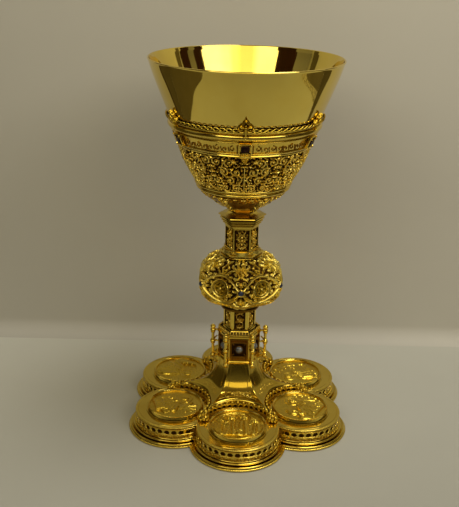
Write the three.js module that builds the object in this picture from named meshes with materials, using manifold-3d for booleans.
// A neo-Gothic communion chalice: a flared cup in a pierced calyx, a hexagonal stem with a
// jewelled knop and a small turret, and a six-lobed foot with a round medallion in each lobe.
// One threaded rod, screwed into a boss under the cup, clamps the whole stack onto the foot.
// Millimetres, +Z up, origin at the centre of the foot's underside. Azimuth 0 is -Y.
import * as THREE from "three";
import { mergeVertices } from "three/addons/utils/BufferGeometryUtils.js";
import Module from "manifold-3d";

const wasm = await Module();
wasm.setup();

// ---- Driving dimensions ----
const SIX = 6;                 // the whole design repeats six times round the axis
const SEXTANT = Math.PI / 3;
const SHEET = 1.2;             // thickness of the raised sheet parts
const GAP = 0.3;               // clearance left between stacked parts
const CUP_SIDES = 32;          // facets round the cup and the calyx

const CUP_TOP = 235;
const RIM_RADIUS = 58.5;
const CUP_WALL = 1.1;
const CUP_OUTLINE = [          // radius, height: from the axis up to the rim
  [0, 146.2], [6, 146.6], [12.5, 148.2], [19.5, 151.8], [24.5, 156.2], [29.9, 164.4],
  [35.9, 175.5], [39.45, 185.1], [43.3, 195], [47.4, 205], [51.8, 216], [55.6, 226],
  [RIM_RADIUS, CUP_TOP],
];
const CALYX_CLEARANCE = 0.5;   // between the cup and the calyx round it
const GEM_BAND_Z = 190;
const GEM_BAND_TILT = 0.37;    // the band leans out with the cup
const SETTING_SIDE = 7.7;
const SETTING_FRONT = 44.9;    // radius of the six square settings' front faces
const BAND_GEM_SIDE = 4.8;

const STEM_BORE = 4.2;         // clear of the rod in every end plate
const STEM_RADIUS = 10.6;      // corner radius of both hexagonal stem lengths
const STEM_WALL = 1.6;
const STEM_PANEL_WIDTH = 7.4;
const STEM_PANEL_DEPTH = 0.6;
const TURRET_RADIUS = 14;
const TURRET_LOW = 38.3;
const TURRET_TOP = 58.4;
const TURRET_GEM_Z = 48.8;
const TURRET_GEM_RADIUS = 2.1;
const COLONNETTE_RADIUS = 17.34;
const KNOP_MIDDLE = 96;
const KNOP_RADIUS = 30;        // at the six gemmed corners
const KNOP_GEM_RADIUS = 1.8;
const KNOP_SLEEVE_TOP = 112.6;

const LOBE_CENTRE = 46.95;     // axis to the centre of each foot lobe
const PLATE_TOP = 12.4;
const PLATE_RADIUS = 25.9;     // of each lobe
const FLANGE_TOP = 4;
const FLANGE_INNER = 24.6;
const GALLERY_TOP = 10.9;
const MEDALLION_RADIUS = 16.6;
const PARAPET_RADIUS = 22.6;   // outer face, about the lobe centre
const PARAPET_TOP = 17;
const PARAPET_REACH = THREE.MathUtils.degToRad(67);
const RAISED_EDGE = 23;        // arc that ends the raised centre, about the lobe centre
const SPIRE_TOP = 38;

const ROD_RADIUS = 3;
const ROD_LOW = 27.5;
const ROD_TOP = 143.9;

// ---- Materials ----
const surface = (color, roughness, metalness) =>
  new THREE.MeshStandardMaterial({ color, roughness, metalness });

const polishedGilt = surface(0xb08c35, 0.15, 1);
const chasedGilt = surface(0x9b7424, 0.35, 1);
const steel = surface(0x8d9094, 0.35, 1);
const darkStone = surface(0x2a1512, 0.1, 0);
const blueStone = surface(0x10162e, 0.1, 0);
const paleStone = surface(0x9aa0a4, 0.05, 0);

const chalice = new THREE.Group();

// ---- Solids ----

// A geometry with its shared corners merged, empty triangles dropped and its faces turned outward.
function solid(geometry) {
  const bare = geometry.clone();
  bare.deleteAttribute("normal");
  bare.deleteAttribute("uv");
  const merged = mergeVertices(bare, 1e-4);
  const p = merged.attributes.position;
  const corner = [0, 1, 2].map(() => new THREE.Vector3());
  const faces = [];
  let volume = 0;
  for (let i = 0; i < merged.index.count; i += 3) {
    const ids = [0, 1, 2].map((k) => merged.index.getX(i + k));
    if (new Set(ids).size < 3) continue;
    ids.forEach((id, k) => corner[k].fromBufferAttribute(p, id));
    volume += corner[0].dot(corner[1].clone().cross(corner[2]));
    faces.push(ids);
  }
  const result = new THREE.BufferGeometry();
  result.setAttribute("position", p.clone());
  result.setIndex(faces.flatMap(([a, b, c]) => (volume > 0 ? [a, b, c] : [a, c, b])));
  return result;
}

function toManifold(geometry) {
  const g = solid(geometry);
  return new wasm.Manifold(new wasm.Mesh({
    numProp: 3,
    vertProperties: new Float32Array(g.attributes.position.array),
    triVerts: new Uint32Array(g.index.array),
  }));
}

function fromManifold(manifold) {
  const mesh = manifold.getMesh();
  const geometry = new THREE.BufferGeometry();
  geometry.setAttribute("position", new THREE.BufferAttribute(mesh.vertProperties, 3));
  geometry.setIndex(new THREE.BufferAttribute(mesh.triVerts, 1));
  return geometry;
}

const joined = (geometries) => fromManifold(geometries.map(toManifold).reduce((a, b) => a.add(b)));

function cut(body, cutters) {
  return fromManifold(cutters.map(toManifold).reduce((a, b) => a.subtract(b), toManifold(body)));
}

// A profile of [radius, height] pairs turned about +Z. Six sides give a hexagon.
function turned(profile, sides, start = 0) {
  const points = profile.map(([radius, height]) => new THREE.Vector2(radius, height));
  return new THREE.LatheGeometry(points, sides, start).rotateX(Math.PI / 2);
}

// A closed profile: its last point joins the first.
const ring = (profile, sides, start) => turned([...profile, profile[0]], sides, start);

// Hexagonal pieces have a flat face towards azimuth 0, so their corners start half a sextant on.
const hexRing = (profile) => ring(profile, SIX, SEXTANT / 2);

// One closed body from a cycle of loops, each a list of the same number of points.
function loft(loops) {
  const count = loops[0].length;
  const index = [];
  loops.forEach((_, i) => {
    const next = (i + 1) % loops.length;
    for (let j = 0; j < count; j += 1) {
      const a = i * count + j;
      const b = i * count + ((j + 1) % count);
      const c = next * count + j;
      const d = next * count + ((j + 1) % count);
      index.push(a, b, d, a, d, c);
    }
  });
  const geometry = new THREE.BufferGeometry().setFromPoints(loops.flat());
  geometry.setIndex(index);
  return solid(geometry);
}

const azimuthPoint = (radius, azimuth, z) =>
  new THREE.Vector3(radius * Math.sin(azimuth), -radius * Math.cos(azimuth), z);

const sixTimes = (make) => Array.from({ length: SIX }, (_, k) => make(k * SEXTANT, k + 1));

// ---- Placing ----
function add(name, geometry, material, parent = chalice) {
  const mesh = new THREE.Mesh(solid(geometry), material);
  mesh.name = name;
  parent.add(mesh);
  return mesh;
}

// Six copies of one piece, each in a group turned to its own azimuth.
function addSix(name, geometry, material, place, firstAzimuth = 0) {
  sixTimes((azimuth, number) => {
    const arm = new THREE.Group();
    arm.rotation.z = firstAzimuth + azimuth;
    chalice.add(arm);
    const mesh = add(`${name}_${number}`, geometry, material, arm);
    place(mesh);
  });
}

// ---- Cup ----
const cupCurve = new THREE.SplineCurve(CUP_OUTLINE.map(([r, z]) => new THREE.Vector2(r, z)));

// A point at distance `out` outside the cup's outer surface, at curve parameter u.
function cupOffset(u, out) {
  const point = cupCurve.getPoint(u);
  const along = cupCurve.getTangent(u);
  return [point.x + along.y * out, point.y - along.x * out];
}

function cupParameter(z) {
  let low = 0;
  let high = 1;
  for (let i = 0; i < 30; i += 1) {
    const middle = (low + high) / 2;
    if (cupCurve.getPoint(middle).y < z) low = middle;
    else high = middle;
  }
  return low;
}

const cupRadius = (z) => cupCurve.getPoint(cupParameter(z)).x;

function cupBowl() {
  const steps = 11;
  const levels = Array.from({ length: steps }, (_, i) => i / steps);
  const outer = levels.map((u) => cupCurve.getPoint(u)).map((p) => [p.x, p.y]);
  const inner = levels.map((u) => cupOffset(u, -CUP_WALL)).reverse();
  inner[steps - 1][0] = 0;
  const rim = [[RIM_RADIUS, CUP_TOP], [RIM_RADIUS - CUP_WALL, CUP_TOP]];
  return turned([...outer, ...rim, ...inner], CUP_SIDES);
}

function cupBoss() {
  const outer = 5.5;
  const bore = ROD_RADIUS + GAP;
  const low = 137;
  const top = 145.8;
  const boreTop = ROD_TOP + GAP;
  return turned([
    [0, top], [outer, top], [outer, low], [bore, low], [bore, boreTop], [0, boreTop],
  ], 24);
}

// ---- Calyx ----

// A shell that follows the cup between two heights, `near` to `far` outside it.
function cupShell(zLow, zHigh, near, far, steps) {
  const uLow = cupParameter(zLow);
  const uHigh = cupParameter(zHigh);
  const levels = Array.from({ length: steps + 1 }, (_, i) => uLow + ((uHigh - uLow) * i) / steps);
  const outer = levels.map((u) => cupOffset(u, far));
  const inner = levels.map((u) => cupOffset(u, near)).reverse();
  return [...outer, ...inner];
}

function calyxFretwork() {
  const piercings = 16;
  const side = 6;
  const z = 174;
  const shell = ring(cupShell(162, 185, CALYX_CLEARANCE, CALYX_CLEARANCE + SHEET, 5), CUP_SIDES);
  const cutters = Array.from({ length: piercings }, (_, i) => {
    const lozenge = new THREE.BoxGeometry(side, 12, side);
    lozenge.rotateY(Math.PI / 4).translate(0, -cupRadius(z), z);
    return lozenge.rotateZ(((i + 0.5) * 2 * Math.PI) / piercings);
  });
  return cut(shell, cutters);
}

const leaningOut = (geometry, radius) =>
  geometry.rotateX(GEM_BAND_TILT).translate(0, -radius, GEM_BAND_Z);

function calyxBand() {
  const inner = [199.3, 193, 186].map((z) => [cupRadius(z) + CALYX_CLEARANCE, z]);
  const outer = [
    [41.9, 186], [42.6, 186.7], [42.1, 187.4], [44, 192.9], [44.9, 193.4], [45.2, 194.4],
    [46.4, 195.4], [46.6, 196.9], [46, 198], [46.2, 199.3],
  ];
  const depth = 2.2;
  const settings = sixTimes((azimuth) => leaningOut(
    new THREE.BoxGeometry(SETTING_SIDE, depth, SETTING_SIDE), SETTING_FRONT - depth / 2,
  ).rotateZ(azimuth));
  const pocket = BAND_GEM_SIDE + 2 * GAP;
  const pockets = sixTimes((azimuth) => leaningOut(
    new THREE.BoxGeometry(pocket, depth, pocket), SETTING_FRONT,
  ).rotateZ(azimuth));
  return cut(joined([ring([...outer, ...inner], CUP_SIDES), ...settings]), pockets);
}

// A square stone with its front edges cut away.
function bandGem() {
  const bevel = 0.6;
  const half = BAND_GEM_SIDE / 2 - bevel;
  const square = new THREE.Shape([
    new THREE.Vector2(-half, -half), new THREE.Vector2(half, -half),
    new THREE.Vector2(half, half), new THREE.Vector2(-half, half),
  ]);
  const options = { depth: 0.4, bevelThickness: bevel, bevelSize: bevel, bevelSegments: 1 };
  return new THREE.ExtrudeGeometry(square, options).translate(0, 0, bevel).rotateX(Math.PI / 2);
}

// A pointed three-leaved finial, flat on the cup.
function fleuron() {
  const shape = new THREE.Shape();
  shape.moveTo(-0.8, -1.7);
  shape.lineTo(0.8, -1.7);
  shape.lineTo(1, 1.4);
  shape.quadraticCurveTo(3.9, 0, 3.8, 2.4);
  shape.quadraticCurveTo(3.4, 4, 1.4, 3.6);
  shape.quadraticCurveTo(1.8, 5.2, 0, 6.6);
  shape.quadraticCurveTo(-1.8, 5.2, -1.4, 3.6);
  shape.quadraticCurveTo(-3.4, 4, -3.8, 2.4);
  shape.quadraticCurveTo(-3.9, 0, -1, 1.4);
  return new THREE.ExtrudeGeometry(shape, { depth: 1.3, bevelEnabled: false, curveSegments: 2 })
    .rotateX(Math.PI / 2);
}

function calyxCresting() {
  const low = 199.7;
  const high = 203.2;
  const inner = [high, low].map((z) => [cupRadius(z) + CALYX_CLEARANCE, z]);
  const cord = ring([[46.9, low], [48.1, 200.6], [48.5, 202.2], [48.2, high], ...inner], CUP_SIDES);
  const leaves = sixTimes((azimuth) => fleuron()
    .rotateX(GEM_BAND_TILT)
    .translate(0, -(cupRadius(201.6) + CALYX_CLEARANCE + 0.4), 201.6)
    .rotateZ(azimuth));
  return joined([cord, ...leaves]);
}

function calyxLowerRing() {
  const inner = cupShell(158.6, 161.6, CALYX_CLEARANCE, CALYX_CLEARANCE, 1).slice(2);
  const outer = [
    [27.4, 157.2], [28.6, 157], [29.2, 157.9], [28.7, 158.7], [30.1, 159.6], [29.9, 160.8],
  ];
  return ring([...outer, ...inner], CUP_SIDES);
}

function calyxBase() {
  return ring([
    [26.6, 156.6], [23.2, 152.1], [19.5, 149.6], [12.5, 144.6], [9.2, 143.3], [6.4, 143.3],
    [6.4, 144.8], [18, 149.8], [22.4, 152.9], [25.2, 156.6],
  ], CUP_SIDES);
}

// ---- Stem ----
function collar() {
  return hexRing([
    [8.9, 143], [9.6, 141.2], [11.5, 139.7], [15.1, 138.5], [15.1, 137.6], [13.9, 137],
    [13.9, 136.2], [12.7, 135.5], [12.7, 134.6], [11.7, 133.9], [11.7, 132.9], [11, 131.2],
    [8.9, 131.2], [8.9, 136], [7.2, 138], [7.2, 143],
  ]);
}

// Shallow panels sunk in the six faces of a hexagonal stem tube.
function panelled(tube, zLow, zHigh) {
  const face = STEM_RADIUS * Math.cos(SEXTANT / 2);
  const panels = sixTimes((azimuth) =>
    new THREE.BoxGeometry(STEM_PANEL_WIDTH, 2 * STEM_PANEL_DEPTH, zHigh - zLow)
      .translate(0, -face, (zLow + zHigh) / 2)
      .rotateZ(azimuth));
  return cut(tube, panels);
}

function upperStem() {
  const low = 116.2;
  const top = 130.9;
  const bore = STEM_RADIUS - STEM_WALL;
  const rail = 1.6;
  const tube = hexRing([[STEM_RADIUS, top], [STEM_RADIUS, low], [bore, low], [bore, top]]);
  return panelled(tube, low + rail, top - rail);
}

function lowerStem() {
  const low = TURRET_TOP + GAP;
  const top = 75.2;
  const bore = STEM_RADIUS - STEM_WALL;
  const foot = STEM_RADIUS + 1;
  const tube = hexRing([
    [STEM_RADIUS, top], [STEM_RADIUS, low + 3.2], [foot, low + 1.4], [foot, low],
    [bore, low], [bore, top],
  ]);
  return panelled(tube, low + 4.6, top - 1.4);
}

function knopTopRing() {
  return hexRing([
    [11, 115.9], [12.6, 115.6], [12.6, 114.7], [12.1, 114.5], [14.2, 114.2], [14.2, 113.3],
    [13.4, 112.9], [7.8, 112.9], [7.8, 115.9],
  ]);
}

function knopSleeve() {
  return ring([
    [8.8, KNOP_SLEEVE_TOP], [8.8, 77.2], [12.5, 76.6], [12.5, 75.5], [7.6, 75.5],
    [7.6, KNOP_SLEEVE_TOP],
  ], 24);
}

// The two halves of the knop. Each side view is part of a superellipse: `height` would be its full
// height from the middle and `power` its roundness. The shell turns in at `cutoff` to `lip`.
const KNOP_UPPER = { side: 1, height: 18.9, power: 2.05, cutoff: 16.6, lip: 13.4 };
const KNOP_LOWER = { side: -1, height: 20.5, power: 2.3, cutoff: 17.3, lip: 14.6 };

// The knop's corner radius at a height above or below its middle.
const knopRadius = ({ height, power }, rise) =>
  KNOP_RADIUS * (1 - (rise / height) ** power) ** (1 / power);

// Turns a round solid into a soft hexagon with corners at azimuth 0, 60 and so on.
function softHexagon(geometry, flatness) {
  const p = geometry.attributes.position;
  for (let i = 0; i < p.count; i += 1) {
    const azimuth = Math.atan2(p.getX(i), -p.getY(i));
    const shrink = 1 - (flatness * (1 - Math.cos(SIX * azimuth))) / 2;
    p.setXY(i, p.getX(i) * shrink, p.getY(i) * shrink);
  }
  return geometry;
}

// One half of the knop as a thin shell, open at the middle and turned in at its end.
function knopShell(half) {
  const { side, cutoff, lip } = half;
  const rows = 4;
  const start = GAP / 2;
  const flatness = 0.11;
  const rises = Array.from({ length: rows + 1 }, (_, i) => start + ((cutoff - start) * i) / rows);
  const outer = rises.map((rise) => [knopRadius(half, rise), KNOP_MIDDLE + side * rise]);
  const inner = rises.map((rise) => {
    const lowered = Math.max(start, rise - (rise > start ? SHEET * (rise / cutoff) : 0));
    return [knopRadius(half, rise) - SHEET, KNOP_MIDDLE + side * lowered];
  }).reverse();
  const end = KNOP_MIDDLE + side * cutoff;
  const profile = [...outer, [lip, end], [lip, end - side * SHEET], ...inner];
  const hole = KNOP_GEM_RADIUS + GAP;
  const holes = sixTimes((azimuth) => new THREE.CylinderGeometry(hole, hole, 6, 10)
    .translate(0, -KNOP_RADIUS, KNOP_MIDDLE)
    .rotateZ(azimuth));
  return cut(softHexagon(ring(profile, 24), flatness), holes);
}

// A low domed stone whose axis points to -Y; its back is at y = 0.
function cabochon(radius, height, sides) {
  return turned([
    [0, 0], [radius, 0], [radius, height * 0.45], [radius * 0.62, height * 0.85], [0, height],
  ], sides).rotateX(Math.PI / 2);
}

// ---- Turret ----
function turretBody() {
  const wall = 1.7;
  const hollow = TURRET_RADIUS - wall;
  const body = hexRing([
    [13.2, TURRET_LOW], [14.7, 38.9], [14.7, 40], [TURRET_RADIUS, 40.7], [TURRET_RADIUS, 56.3],
    [14.7, 57], [14.7, TURRET_TOP], [STEM_BORE, TURRET_TOP], [STEM_BORE, TURRET_TOP - SHEET],
    [hollow, TURRET_TOP - SHEET], [hollow, TURRET_LOW + SHEET], [STEM_BORE, TURRET_LOW + SHEET],
    [STEM_BORE, TURRET_LOW],
  ]);
  const face = TURRET_RADIUS * Math.cos(SEXTANT / 2);
  const frameSide = 9.6;
  const frames = sixTimes((azimuth) => new THREE.BoxGeometry(frameSide, 1.2, frameSide)
    .translate(0, -face - 0.1, TURRET_GEM_Z)
    .rotateZ(azimuth));
  const pockets = sixTimes((azimuth) => cabochon(TURRET_GEM_RADIUS + GAP, 3, 12)
    .translate(0, -face + 0.5, TURRET_GEM_Z)
    .rotateZ(azimuth));
  return cut(joined([body, ...frames]), pockets);
}

function turretCresting() {
  const low = TURRET_TOP + GAP;
  return hexRing([
    [14.3, low], [14.3, 60.2], [13.8, 61.4], [13.2, 61.4], [12.7, 60.2], [12.7, low],
  ]);
}

// A slender shaft with turned knobs, and three struts back to the turret's corner.
function colonnette() {
  const shaft = 0.8;
  const knob = 1.5;
  const knobs = [39.4, 49.5, 57.2, 59.6];
  const profile = [[0, 38.2], [shaft, 38.2]];
  knobs.forEach((z) => profile.push([shaft, z - 0.9], [knob, z], [shaft, z + 0.9]));
  profile.push([0, 61.4]);
  const post = turned(profile, SIX).translate(0, -COLONNETTE_RADIUS, 0);
  const strutEnd = 15;
  const length = COLONNETTE_RADIUS - strutEnd;
  const struts = [39.4, 49.5, 57.2].map((z) => new THREE.BoxGeometry(1, length, 1)
    .translate(0, -strutEnd - length / 2, z));
  return joined([post, ...struts]);
}

// ---- Foot ----

// The half-angle of a lobe's outline, from its outward direction to the notch.
function lobeReach(radius) {
  const half = LOBE_CENTRE / 2;
  const notch = LOBE_CENTRE * Math.cos(SEXTANT / 2) + Math.sqrt(radius ** 2 - half ** 2);
  return Math.atan2(notch / 2, notch * Math.cos(SEXTANT / 2) - LOBE_CENTRE);
}

// The six-lobed outline at one height, with the same number of points for every radius.
function lobedLoop(radius, z, steps = 8) {
  const reach = lobeReach(radius);
  return sixTimes((azimuth) => Array.from({ length: steps }, (_, i) => {
    const turn = -reach + (2 * reach * i) / steps;
    const x = radius * Math.sin(turn);
    const y = LOBE_CENTRE + radius * Math.cos(turn);
    return azimuthPoint(Math.hypot(x, y), azimuth + Math.atan2(x, y), z);
  })).flat();
}

function footFlange() {
  const outer = [
    [30.4, 0], [30.4, 0.7], [29.8, 1.3], [29.2, 2], [27.9, 2.3], [27.9, 3], [26.6, FLANGE_TOP],
  ];
  const inner = [[FLANGE_INNER, FLANGE_TOP], [FLANGE_INNER, 0]];
  return loft([...outer, ...inner].map(([radius, z]) => lobedLoop(radius, z)));
}

function footGallery() {
  const low = FLANGE_TOP + GAP;
  const inner = PLATE_RADIUS - SHEET;
  const wall = loft([
    lobedLoop(PLATE_RADIUS, low), lobedLoop(PLATE_RADIUS, GALLERY_TOP),
    lobedLoop(inner, GALLERY_TOP), lobedLoop(inner, low),
  ]);
  const openings = 7;
  const spread = THREE.MathUtils.degToRad(160);
  const cutters = sixTimes((azimuth) => Array.from({ length: openings }, (_, i) => {
    const turn = spread * (i / (openings - 1) - 0.5);
    return new THREE.BoxGeometry(3, 8, 2)
      .translate(0, -PLATE_RADIUS, 8.6)
      .rotateZ(turn)
      .translate(0, -LOBE_CENTRE, 0)
      .rotateZ(azimuth);
  })).flat();
  return cut(wall, cutters);
}

function footPlate() {
  const low = PLATE_TOP - SHEET;
  const hole = 20;
  const round = (radius, z) => lobedLoop(PLATE_RADIUS, z)
    .map((p) => azimuthPoint(radius, Math.atan2(p.x, -p.y), z));
  return loft([
    lobedLoop(PLATE_RADIUS, low), lobedLoop(PLATE_RADIUS, PLATE_TOP),
    round(hole, PLATE_TOP), round(hole, low),
  ]);
}

// Where the raised centre ends: the arc about each lobe centre, then the tip between two lobes.
function raisedEdge(arcRadius) {
  const reach = THREE.MathUtils.degToRad(52);
  const steps = 3;
  const half = Array.from({ length: steps + 1 }, (_, i) => {
    const turn = (reach * i) / steps;
    const x = arcRadius * Math.sin(turn);
    const y = LOBE_CENTRE - arcRadius * Math.cos(turn);
    return { radius: Math.hypot(x, y), azimuth: Math.atan2(x, y) };
  });
  const tip = { radius: half[steps].radius + 0.6, azimuth: SEXTANT / 2 };
  const mirrored = half.slice(1).reverse().map((e) => ({ radius: e.radius, azimuth: -e.azimuth }));
  return sixTimes((turn) => [...mirrored, ...half, tip]
    .map((e) => ({ radius: e.radius, azimuth: turn + e.azimuth, local: e.azimuth }))).flat();
}

// Rows down the spire. The face and corner columns are heights; spread runs from the hexagon (0)
// to the six arcs (1).
const SPIRE_ROWS = [
  { face: 10.9, z: 38, cornerZ: 38, spread: 0 },
  { face: 12, z: 34, cornerZ: 33.6, spread: 0 },
  { face: 13.2, z: 30, cornerZ: 28.6, spread: 0.03 },
  { face: 14.6, z: 26, cornerZ: 24.2, spread: 0.1 },
  { face: 16.2, z: 22.7, cornerZ: 20.9, spread: 0.25 },
  { face: 18.3, z: 20.6, cornerZ: 19, spread: 0.5 },
  { face: 20.9, z: 19.1, cornerZ: 17.7, spread: 0.78 },
  { face: 23.95, z: 17.7, cornerZ: 16.4, spread: 1 },
];

function spireLoop(row, edge, thickness) {
  const i = SPIRE_ROWS.indexOf(row);
  const before = SPIRE_ROWS[Math.max(i - 1, 0)];
  const after = SPIRE_ROWS[Math.min(i + 1, SPIRE_ROWS.length - 1)];
  const slope = Math.atan2(before.z - after.z, after.face - before.face);
  const radiusAt = (e) => {
    const hexagon = row.face / Math.cos(e.local);
    return hexagon + (e.radius - hexagon) * row.spread;
  };
  const corner = radiusAt({ radius: Math.max(...edge.map((e) => e.radius)), local: SEXTANT / 2 });
  return edge.map((e) => {
    const radius = radiusAt(e);
    const towardCorner = (radius - row.face) / (corner - row.face);
    const z = row.z + (row.cornerZ - row.z) * Math.min(Math.max(towardCorner, 0), 1);
    return azimuthPoint(
      radius - thickness * Math.sin(slope), e.azimuth, z - thickness * Math.cos(slope),
    );
  });
}

function footSpire() {
  const edge = raisedEdge(RAISED_EDGE);
  const low = PLATE_TOP + GAP;
  const flat = (radiusOf, z) => edge.map((e) => azimuthPoint(radiusOf(e), e.azimuth, z));
  const rimWidth = 2.2;
  const hollowTop = 9.6;
  const innerEdge = (e) => e.radius - rimWidth;
  const bore = () => STEM_BORE;
  return loft([
    flat(bore, SPIRE_TOP),
    ...SPIRE_ROWS.map((row) => spireLoop(row, edge, 0)),
    flat((e) => e.radius, low),
    flat(innerEdge, low),
    ...SPIRE_ROWS.slice(1, -1).reverse().map((row) => spireLoop(row, edge, SHEET)),
    flat((e) => hollowTop / Math.cos(e.local), SPIRE_TOP - SHEET),
    flat(bore, SPIRE_TOP - SHEET),
  ]);
}

function medallion() {
  const low = PLATE_TOP + GAP;
  return turned([
    [0, low], [MEDALLION_RADIUS, low], [MEDALLION_RADIUS, 13.6], [9, 14.1], [0, 14.2],
  ], 20);
}

function bezel() {
  const low = PLATE_TOP + GAP;
  const inner = MEDALLION_RADIUS + GAP;
  return ring([
    [inner, low], [20.9, low], [20.6, 13.3], [18.4, 13.4], [18.2, 14.8], [inner, 14.8],
  ], 20);
}

// Six low arcs that fence the medallions off from the raised centre, tied by leafy bosses.
function footParapet() {
  const low = PLATE_TOP + GAP;
  const thickness = 1;
  const middle = Math.PI / 2;
  const arc = new THREE.Shape();
  arc.absarc(0, 0, PARAPET_RADIUS, middle - PARAPET_REACH, middle + PARAPET_REACH, false);
  arc.absarc(0, 0, PARAPET_RADIUS - thickness, middle + PARAPET_REACH, middle - PARAPET_REACH, true);
  const options = { depth: PARAPET_TOP - low, bevelEnabled: false, curveSegments: 6 };
  const arcs = sixTimes((azimuth) => new THREE.ExtrudeGeometry(arc, options)
    .translate(0, -LOBE_CENTRE, low)
    .rotateZ(azimuth));
  const budRadius = 2.2;
  const buds = sixTimes((azimuth) => [[0, 42.6], [-1.6, 45.2], [1.6, 45.2]].map(([x, radius]) =>
    new THREE.OctahedronGeometry(budRadius)
      .translate(x, -radius, low + budRadius)
      .rotateZ(azimuth + SEXTANT / 2))).flat();
  return joined([...arcs, ...buds]);
}

// ---- Clamping parts ----
function tieRod() {
  return turned([[0, ROD_LOW], [ROD_RADIUS, ROD_LOW], [ROD_RADIUS, ROD_TOP], [0, ROD_TOP]], 16);
}

const WASHER_RADIUS = 9;
const WASHER_TOP = SPIRE_TOP - SHEET - GAP;
const WASHER_LOW = WASHER_TOP - 1.5;

function clampWasher() {
  const bore = ROD_RADIUS + GAP;
  return ring([
    [bore, WASHER_TOP], [WASHER_RADIUS, WASHER_TOP], [WASHER_RADIUS, WASHER_LOW],
    [bore, WASHER_LOW],
  ], 24);
}

function clampNut() {
  const height = 5;
  const corner = 5.77;
  const hexagon = new THREE.Shape(Array.from({ length: SIX }, (_, k) =>
    new THREE.Vector2(corner * Math.cos(k * SEXTANT), corner * Math.sin(k * SEXTANT))));
  const hole = new THREE.Path();
  hole.absarc(0, 0, ROD_RADIUS + GAP, 0, 2 * Math.PI, true);
  hexagon.holes.push(hole);
  const options = { depth: height, bevelEnabled: false, curveSegments: 8 };
  return new THREE.ExtrudeGeometry(hexagon, options).translate(0, 0, WASHER_LOW - GAP - height);
}

// ---- Assembly ----
add("cup_bowl", cupBowl(), polishedGilt);
add("cup_boss", cupBoss(), polishedGilt);
add("calyx_fretwork", calyxFretwork(), chasedGilt);
add("calyx_band", calyxBand(), chasedGilt);
add("calyx_cresting", calyxCresting(), chasedGilt);
add("calyx_lower_ring", calyxLowerRing(), polishedGilt);
add("calyx_base", calyxBase(), chasedGilt);
add("collar", collar(), polishedGilt);
add("upper_stem", upperStem(), chasedGilt);
add("knop_top_ring", knopTopRing(), polishedGilt);
add("knop_upper_shell", knopShell(KNOP_UPPER), chasedGilt);
add("knop_lower_shell", knopShell(KNOP_LOWER), chasedGilt);
add("knop_sleeve", knopSleeve(), polishedGilt);
add("lower_stem", lowerStem(), chasedGilt);
add("turret_body", turretBody(), chasedGilt);
add("turret_cresting", turretCresting(), chasedGilt);
add("foot_spire", footSpire(), chasedGilt);
add("foot_parapet", footParapet(), chasedGilt);
add("foot_plate", footPlate(), polishedGilt);
add("foot_gallery", footGallery(), chasedGilt);
add("foot_flange", footFlange(), polishedGilt);
add("tie_rod", tieRod(), steel);
add("clamp_washer", clampWasher(), steel);
add("clamp_nut", clampNut(), steel);

addSix("band_gem", bandGem(), darkStone, (mesh) => {
  const sunk = 0.75;
  const y = -SETTING_FRONT + sunk * Math.cos(GEM_BAND_TILT);
  mesh.position.set(0, y, GEM_BAND_Z + sunk * Math.sin(GEM_BAND_TILT));
  mesh.rotation.x = GEM_BAND_TILT;
});
addSix("knop_gem", cabochon(KNOP_GEM_RADIUS, 2, 10), blueStone, (mesh) => {
  mesh.position.set(0, -(KNOP_RADIUS - 1.1), KNOP_MIDDLE);
});
addSix("turret_gem", cabochon(TURRET_GEM_RADIUS, 1.9, 12), paleStone, (mesh) => {
  mesh.position.set(0, -(TURRET_RADIUS * Math.cos(SEXTANT / 2) - 0.2), TURRET_GEM_Z);
});
addSix("colonnette", colonnette(), polishedGilt, () => {}, SEXTANT / 2);
addSix("bezel", bezel(), polishedGilt, (mesh) => mesh.position.set(0, -LOBE_CENTRE, 0));
addSix("medallion", medallion(), chasedGilt, (mesh) => mesh.position.set(0, -LOBE_CENTRE, 0));

export default chalice;
